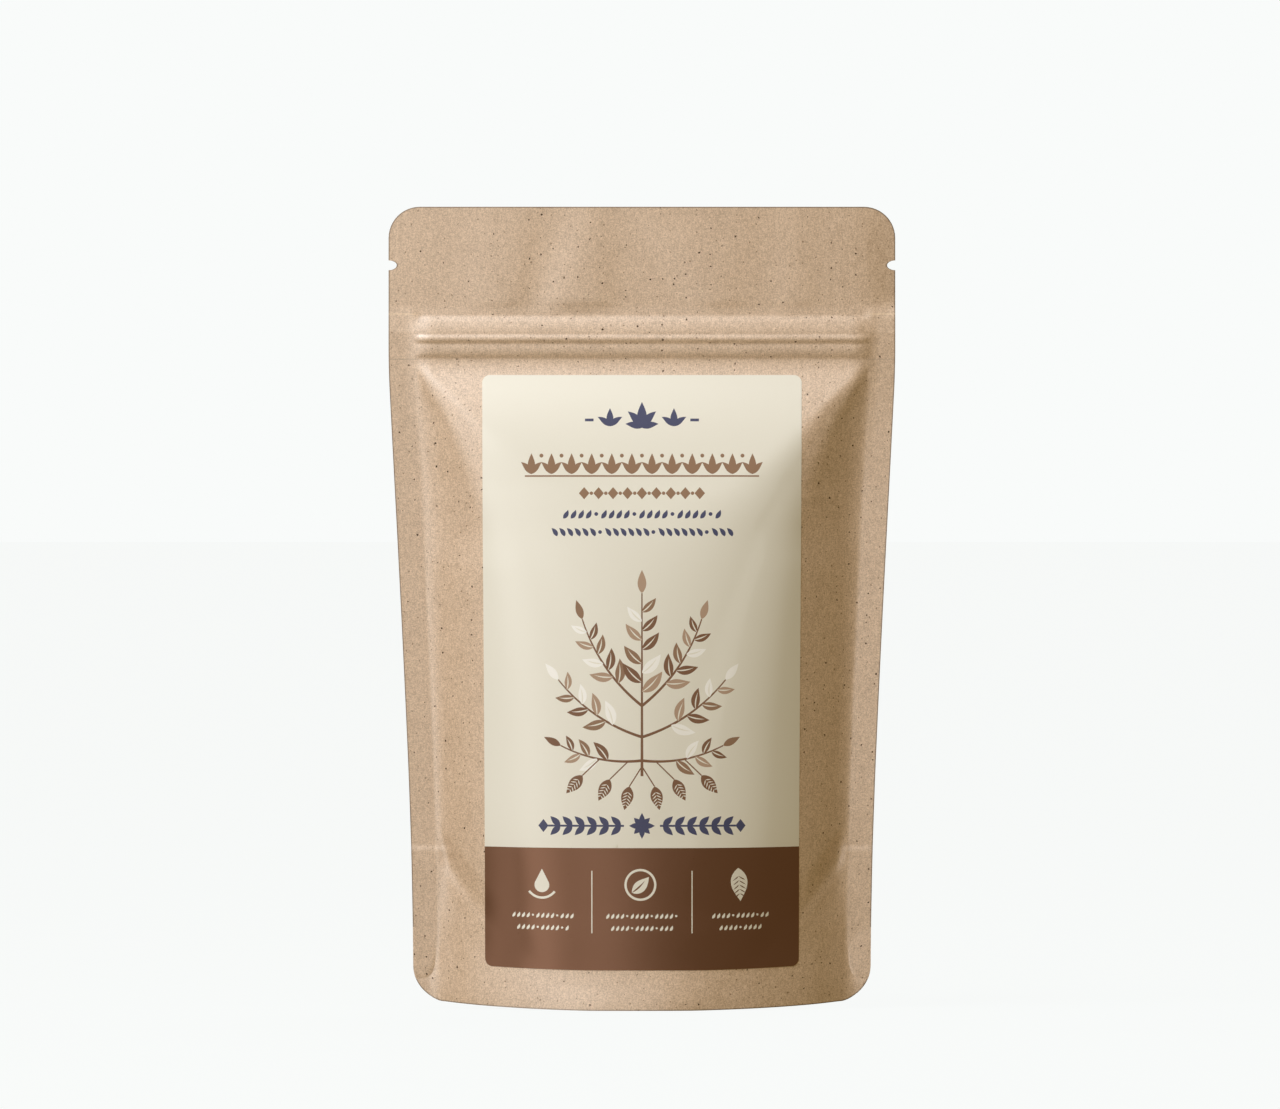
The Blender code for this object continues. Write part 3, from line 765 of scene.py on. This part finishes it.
def label_outline():
    """The label's edge with round corners."""
    corner = np.linspace(0, math.pi / 2, 7)
    arc = LABEL_CORNER * np.stack([np.cos(corner), np.sin(corner)], axis=1)
    in_x = LABEL_HALF_WIDTH - LABEL_CORNER
    low, high = LABEL_FOOT + LABEL_CORNER, LABEL_TOP - LABEL_CORNER
    turned = (arc, arc[::-1] * (-1, 1), arc * (-1, -1), arc[::-1] * (1, -1))
    places = ((in_x, high), (-in_x, high), (-in_x, low), (in_x, low))
    return np.concatenate([part + place for part, place in zip(turned, places)])


def split_label():
    """Splits the label into triangles along its print, and says which ink each triangle has."""
    outline = label_outline()
    shapes = print_shapes()
    x = np.arange(-LABEL_HALF_WIDTH + 1, LABEL_HALF_WIDTH, 1.6)
    y = np.arange(LABEL_FOOT + 1, LABEL_TOP, 1.6)
    inner = np.stack(np.meshgrid(x, y), axis=-1).reshape(-1, 2)
    inner = inner + 0.25 * np.sin(inner[:, ::-1] * 7.3)
    outlines = [cut_short(outline)] + [cut_short(shape) for _, shape in shapes]
    starts = np.cumsum([0] + [len(shape) for shape in outlines])
    faces = [list(range(start, end)) for start, end in zip(starts, starts[1:])]
    points = [Vector(point) for point in np.concatenate([*outlines, inner])]
    found, _, triangles, _, _, owners = delaunay_2d_cdt(points, [], faces, 1, 1e-5)
    kept = [i for i, owner in enumerate(owners) if 0 in owner]
    inks = ["paper"] + [ink for ink, _ in shapes]
    used = [inks[max(owners[i])] for i in kept]
    colours = np.array([(*INKS[ink], BAND_SHEEN * (ink == "band")) for ink in used])
    return np.array([tuple(point) for point in found]), np.array([triangles[i] for i in kept]), colours


def make_label(paper):
    flat, triangles, colours = split_label()
    used, triangles = np.unique(triangles, return_inverse=True)
    flat, triangles = flat[used], triangles.reshape(-1, 3)
    s, v = flat.T
    normal = panel_normal(s, v)
    middle = panel_point(s, v) + LABEL_PITCH * normal
    count = len(flat)
    ends = np.concatenate([triangles[:, [0, 1]], triangles[:, [1, 2]], triangles[:, [2, 0]]])
    backwards = set(map(tuple, ends[:, ::-1].tolist()))
    rim = np.array([end for end in map(tuple, ends.tolist()) if end not in backwards])
    first, second = rim.T
    sides = np.concatenate([
        np.stack([second, first, first + count], axis=1),
        np.stack([second, first + count, second + count], axis=1),
    ])
    faces = np.concatenate([triangles, triangles[:, ::-1] + count, sides])
    points = np.concatenate([middle + LABEL_WALL / 2 * normal, middle - LABEL_WALL / 2 * normal])
    thing = mesh_object("label_sheet", points, faces, np.concatenate([flat, flat]), paper, "label")
    mesh = thing.data
    plain = np.broadcast_to((*INKS["paper"], 0), (len(faces) - len(triangles), 4))
    values = np.concatenate([colours, plain]).astype(np.float32)
    rgba = np.repeat(np.concatenate([values[:, :3], np.ones((len(faces), 1))], axis=1), 3, axis=0)
    ink = mesh.color_attributes.new("ink", "FLOAT_COLOR", "CORNER")
    ink.data.foreach_set("color", rgba.astype(np.float32).ravel())
    sheen = mesh.attributes.new("sheen", "FLOAT", "FACE")
    sheen.data.foreach_set("value", values[:, 3].copy())
    return thing


class Socket:
    """A value in a material, on which Python's operators add Math nodes."""

    def __init__(self, graph, link):
        self.graph = graph
        self.link = link

    def maths(self, operation, *others):
        return self.graph.node("Math", {"operation": operation}, *others)

    def __add__(self, other):
        return self.maths("ADD", self, other)

    def __sub__(self, other):
        return self.maths("SUBTRACT", self, other)

    def __rsub__(self, other):
        return self.maths("SUBTRACT", other, self)

    def __mul__(self, other):
        return self.maths("MULTIPLY", self, other)

    __radd__ = __add__
    __rmul__ = __mul__


class Graph:
    """The nodes of one material, made round its Principled shader."""

    def __init__(self, name):
        self.material = bpy.data.materials.new(name)
        self.material.use_nodes = True
        self.tree = self.material.node_tree
        self.shader = self.tree.nodes["Principled BSDF"]

    def set(self, socket, value):
        if isinstance(value, Socket):
            self.tree.links.new(value.link, socket)
        else:
            socket.default_value = value

    def node(self, kind, settings=None, *values, output=0, **named):
        """A node of this type with its settings, then its inputs in order or by name, and one of its outputs."""
        node = self.tree.nodes.new("ShaderNode" + kind)
        for key, value in (settings or {}).items():
            setattr(node, key, value)
        for socket, value in zip(node.inputs, values):
            self.set(socket, value)
        for key, value in named.items():
            self.set(node.inputs[key.replace("_", " ")], value)
        return Socket(self, node.outputs[output])

    def flat(self, across=1.0, up=1.0):
        """The piece's flat pattern in metres, stretched by these numbers."""
        place = self.node("UVMap", {"uv_map": "flat_pattern"})
        return self.node("Mapping", {}, place, Scale=(across, up, 1.0))

    def noise(self, place, size, detail=2.0, rough=0.5, seed=0.0):
        """Noise with features of about this size in millimetres, from 0 to 1."""
        kind = {"noise_dimensions": "4D"}
        found = self.node("TexNoise", kind, Vector=place, W=seed, Scale=1 / (size * MM), Detail=detail, Roughness=rough)
        return found

    def ramp(self, low, high, value):
        """0 below low, 1 above high, and an S between them."""
        return self.node("MapRange", {"interpolation_type": "SMOOTHSTEP"}, value, low, high, 0.0, 1.0)

    def mix(self, factor, first, second):
        found = self.node("Mix", {"data_type": "RGBA"}, output=2)
        node = found.link.node
        self.set(node.inputs[0], factor)
        self.set(node.inputs[6], first)
        self.set(node.inputs[7], second)
        return found

    def finish(self, **inputs):
        for key, value in inputs.items():
            self.set(self.shader.inputs[key.replace("_", " ")], value)
        return self.material


def kraft_paper():
    """Kraft: fibres, grain, soft clouds, irregular specks and a dark cut edge; across the side seals a painted shade
    line at the zip's foot and a painted highlight line along its top.
    """
    g = Graph("kraft_paper")
    place = g.flat()
    cloud = g.noise(place, 11.0, 3.0, 0.5, 1.0)
    mottle = g.noise(place, 1.9, 4.0, 0.6, 3.0)
    upright = g.noise(g.flat(1.0, 0.28), 0.3, 2.0, 0.5, 7.0)
    level = g.noise(g.flat(0.28, 1.0), 0.3, 2.0, 0.5, 9.0)
    grain = g.noise(place, 0.3, 2.0, 0.6, 5.0)
    tone = 0.5 + (cloud - 0.5) * 0.35 + (mottle - 0.5) * 0.6 + (upright - 0.5) * 0.9 + (level - 0.5) * 0.75
    tone = tone + (grain - 0.5) * 2.7
    colour = g.mix(tone, (0.392, 0.267, 0.176, 1), (0.784, 0.599, 0.459, 1))
    dull = 0.0
    smudge = g.ramp(0.66, 0.76, g.noise(place, 2.6, 2.0, 0.6, 31.0)) * g.ramp(0.5, 0.62, cloud)
    colour = g.mix(smudge * 0.35, colour, (0.33, 0.20, 0.12, 1))
    for size, seed, share, dark, ink in (
        (3.1, 12.0, 0.74, 0.95, (0.055, 0.032, 0.022, 1)),
        (1.7, 15.0, 0.76, 0.6, (0.17, 0.10, 0.06, 1)),
        (2.3, 21.0, 0.86, 0.4, (0.93, 0.80, 0.62, 1)),
    ):
        uneven = g.node("VectorMath", {"operation": "ADD"}, place, (seed * 0.37, seed * 0.11, 0.0))
        cell = g.node("TexVoronoi", {"voronoi_dimensions": "2D"}, Vector=uneven, Scale=1 / (size * MM), Randomness=1.0)
        chance = g.node("SeparateColor", {}, Socket(g, cell.link.node.outputs["Color"]))
        reach = g.ramp(share, 1.0, chance) * (0.17 / size)
        away = cell + (grain - 0.5) * 0.22 + (mottle - 0.5) * 0.12
        speck = (1 - g.ramp(0.0, 0.035, away - reach)) * g.ramp(share, share + 0.02, chance) * dark
        colour = g.mix(speck, colour, ink)
        if ink[0] < 0.5:
            dull = speck + dull
    line = g.noise(place, 1.6, 1.0, 0.5, 12.0)
    thin = 1 - g.ramp(0.0, 0.008, g.node("Math", {"operation": "ABSOLUTE"}, line - 0.5))
    short = g.ramp(0.62, 0.68, g.noise(place, 1.1, 1.0, 0.5, 15.0))
    colour = g.mix(thin * short * 0.4, colour, (0.17, 0.10, 0.06, 1))
    edge = g.node("Attribute", {"attribute_name": "edge"}, output=2)
    rim = 1 - g.ramp(0.08, 0.42, edge)
    colour = g.mix(rim * 0.8, colour, (0.14, 0.088, 0.058, 1))
    dull = g.ramp(0.0, 1.0, dull + rim * 0.5)
    split = g.node("SeparateXYZ", {}, place)
    beside = g.ramp(57 * MM, 58.5 * MM, g.node("Math", {"operation": "ABSOLUTE"}, split))
    up = Socket(g, split.link.node.outputs["Y"])
    # Painted light across the side seals: a dark line of painted shade at the zip's foot and a light line of painted
    # highlight along the top of its swell.
    for height, reach, ink in ((166.6, 0.28, (0.17, 0.11, 0.07, 1)), (178.2, 0.35, (0.86, 0.68, 0.48, 1))):
        off = g.node("Math", {"operation": "ABSOLUTE"}, up - height * MM)
        painted_zip_shade_and_highlight = (1 - g.ramp(0.0, reach * MM, off)) * beside
        colour = g.mix(painted_zip_shade_and_highlight * 0.4, colour, ink)
    height = mottle * 0.5 + upright * 0.3 + level * 0.25 + grain * 0.3
    bump = g.node("Bump", {}, Strength=1.0, Distance=0.04 * MM, Height=height)
    rough = 0.45 + (mottle - 0.5) * 0.15
    return g.finish(Base_Color=colour, Metallic=dull, Roughness=rough, Normal=bump, IOR=2.75)


def label_paper():
    """Satin label paper: the ink attribute's colour under a faint unevenness. Dark inks have no satin coat."""
    g = Graph("label_paper")
    ink = g.node("VertexColor", {"layer_name": "ink"})
    place = g.flat()
    grain = g.noise(place, 0.5, 3.0, 0.6)
    shade = g.mix(grain * 0.06, ink, (0.35, 0.3, 0.24, 1))
    bump = g.node("Bump", {}, Strength=1.0, Distance=0.006 * MM, Height=g.noise(place, 1.5, 3.0, 0.5, 4.0))
    sheen = g.node("Attribute", {"attribute_name": "sheen"}, output=2)
    rough = 0.4 + (grain - 0.5) * 0.1 - sheen * 0.14
    bare = g.ramp(0.35, 0.6, g.node("SeparateColor", {}, ink, output=1))
    g.finish(Coat_Weight=bare, Coat_Roughness=0.4, Coat_IOR=2.4)
    return g.finish(Base_Color=shade, Metallic=sheen, Roughness=rough, Normal=bump, IOR=1.45)


def zip_plastic():
    """Milky polyethylene with faint extrusion lines along it."""
    g = Graph("zip_plastic")
    place = g.node("TexCoord", output=3)
    lines = g.noise(g.node("Mapping", {}, place, Scale=(0.02, 1.0, 1.0)), 0.3, 2.0)
    colour = g.mix(lines, (0.74, 0.75, 0.74, 1), (0.86, 0.86, 0.85, 1))
    return g.finish(Base_Color=colour, Roughness=0.28 + lines * 0.15)


def cone_wood():
    """Dry cone scales: dark brown with paler, rougher edges."""
    g = Graph("cone_wood")
    place = g.node("TexCoord", output=3)
    scales = g.noise(place, 2.2, 4.0, 0.6)
    colour = g.mix(g.ramp(0.35, 0.7, scales), (0.05, 0.026, 0.016, 1), (0.19, 0.115, 0.07, 1))
    bump = g.node("Bump", {}, Strength=0.8, Distance=0.4 * MM, Height=scales)
    return g.finish(Base_Color=colour, Roughness=0.75 + scales * 0.2, Normal=bump)


def floor_surface():
    """Pale studio floor, which can be looked through from below."""
    g = Graph("floor_surface")
    place = g.node("TexCoord", output=3)
    mottle = g.noise(place, 60.0, 3.0)
    colour = g.mix(mottle, (0.018, 0.019, 0.0185, 1), (0.022, 0.023, 0.0225, 1))
    glow = (0.947, 0.965, 0.956, 1)
    g.finish(Base_Color=colour, Roughness=1.0, Specular_IOR_Level=0.0, Emission_Color=glow, Emission_Strength=0.97)
    behind = g.node("NewGeometry", output=6)
    clear = g.node("BsdfTransparent")
    shown = g.node("MixShader", {}, behind, Socket(g, g.shader.outputs["BSDF"]), clear)
    g.set(g.tree.nodes["Material Output"].inputs["Surface"], shown)
    return g.material


def make_floor():
    """A round floor far wider than the view, whose rings grow outwards."""
    ring = np.linspace(0, 1, 25)[1:, None] ** 2 * 9000
    angle = np.arange(96) * 2 * math.pi / 96
    points = np.stack([ring * np.cos(angle), ring * np.sin(angle), 0 * ring * angle], axis=-1).reshape(-1, 3)
    points = np.concatenate([points, [(0, 0, 0)]])
    index = np.arange(24 * 96).reshape(24, 96)
    faces = [(index[0, i], index[0, (i + 1) % 96], 24 * 96) for i in range(96)]
    after = np.roll(index, -1, axis=1)
    quads = np.stack([index[:-1], index[1:], after[1:], after[:-1]], axis=-1).reshape(-1, 4)
    mesh = bpy.data.meshes.new("floor")
    mesh.from_pydata((points * MM).tolist(), [], faces + quads.tolist())
    mesh.materials.append(floor_surface())
    floor = bpy.data.objects.new("floor", mesh)
    bpy.context.scene.collection.objects.link(floor)
    floor.visible_diffuse = False
    floor.visible_glossy = False


def sun(name, towards, strength, spread):
    """A distant soft light that shines from this direction."""
    lamp = bpy.data.lights.new(name, "SUN")
    lamp.energy = strength
    lamp.angle = math.radians(spread)
    thing = bpy.data.objects.new(name, lamp)
    thing.rotation_mode = "QUATERNION"
    thing.rotation_quaternion = Vector(towards).to_track_quat("Z", "Y")
    bpy.context.scene.collection.objects.link(thing)


def softbox(name, towards, distance, size, radiance):
    """A rectangular light at this distance in metres, which faces the pouch."""
    lamp = bpy.data.lights.new(name, "AREA")
    lamp.shape = "RECTANGLE"
    lamp.size, lamp.size_y = size
    lamp.energy = radiance * math.pi * size[0] * size[1]
    thing = bpy.data.objects.new(name, lamp)
    thing.location = Vector(towards) * distance + Vector((0, 0, HEIGHT / 2 * MM))
    thing.rotation_mode = "QUATERNION"
    thing.rotation_quaternion = Vector(towards).to_track_quat("Z", "Y")
    bpy.context.scene.collection.objects.link(thing)


def make_studio():
    world = bpy.data.worlds.new("studio")
    bpy.context.scene.world = world
    world.use_nodes = True
    background = world.node_tree.nodes["Background"]
    seen = world.node_tree.nodes.new("ShaderNodeLightPath")
    shown = world.node_tree.nodes.new("ShaderNodeMix")
    shown.data_type = "RGBA"
    shown.inputs[6].default_value = (0.282, 0.204, 0.084, 1)
    shown.inputs[7].default_value = (0.947, 0.965, 0.956, 1)
    world.node_tree.links.new(seen.outputs["Is Camera Ray"], shown.inputs[0])
    world.node_tree.links.new(shown.outputs[2], background.inputs["Color"])
    softbox("key_light", (-0.454, -0.454, 0.766), 1.5, (0.9, 0.9), 8.1)
    softbox("strip_light", (-0.515, -0.856, 0.035), 1.6, (0.62, 1.6), 1.22)
    softbox("fill_light", (-0.139, -0.99, 0.035), 1.6, (0.3, 1.6), 1.16)
    softbox("edge_light", (-0.819, -0.573, 0.035), 1.6, (0.3, 1.6), 1.03)
    sun("rear_light", (0.35, 0.75, 0.56), 0.9, 40)


def make_camera():
    """A long lens, level with the middle of the frame, which the photograph's frame gives in millimetres."""
    pixel = 0.25666
    frame_width = 1280 * pixel
    distance = 5000.0
    aim = Vector((-0.5, 0, (1009.5 - 1109 / 2) * pixel - 0.3))
    rise = math.radians(0.8)
    camera = bpy.data.cameras.new("camera")
    camera.sensor_width = 36.0
    camera.lens = camera.sensor_width * distance / frame_width
    camera.clip_start = 0.1
    camera.clip_end = 100.0
    thing = bpy.data.objects.new("camera", camera)
    thing.location = (aim + distance * Vector((0, -math.cos(rise), math.sin(rise)))) * MM
    thing.rotation_euler = (math.pi / 2 - rise, 0, 0)
    bpy.context.scene.collection.objects.link(thing)
    bpy.context.scene.camera = thing


def build():
    scene = bpy.context.scene
    scene.view_settings.view_transform = "Standard"
    scene.view_settings.look = "None"
    paper = kraft_paper()
    make_panels(paper)
    make_gusset(paper)
    make_label(label_paper())
    make_zips(zip_plastic())
    make_cones(cone_wood())
    make_floor()
    make_studio()
    make_camera()


build()
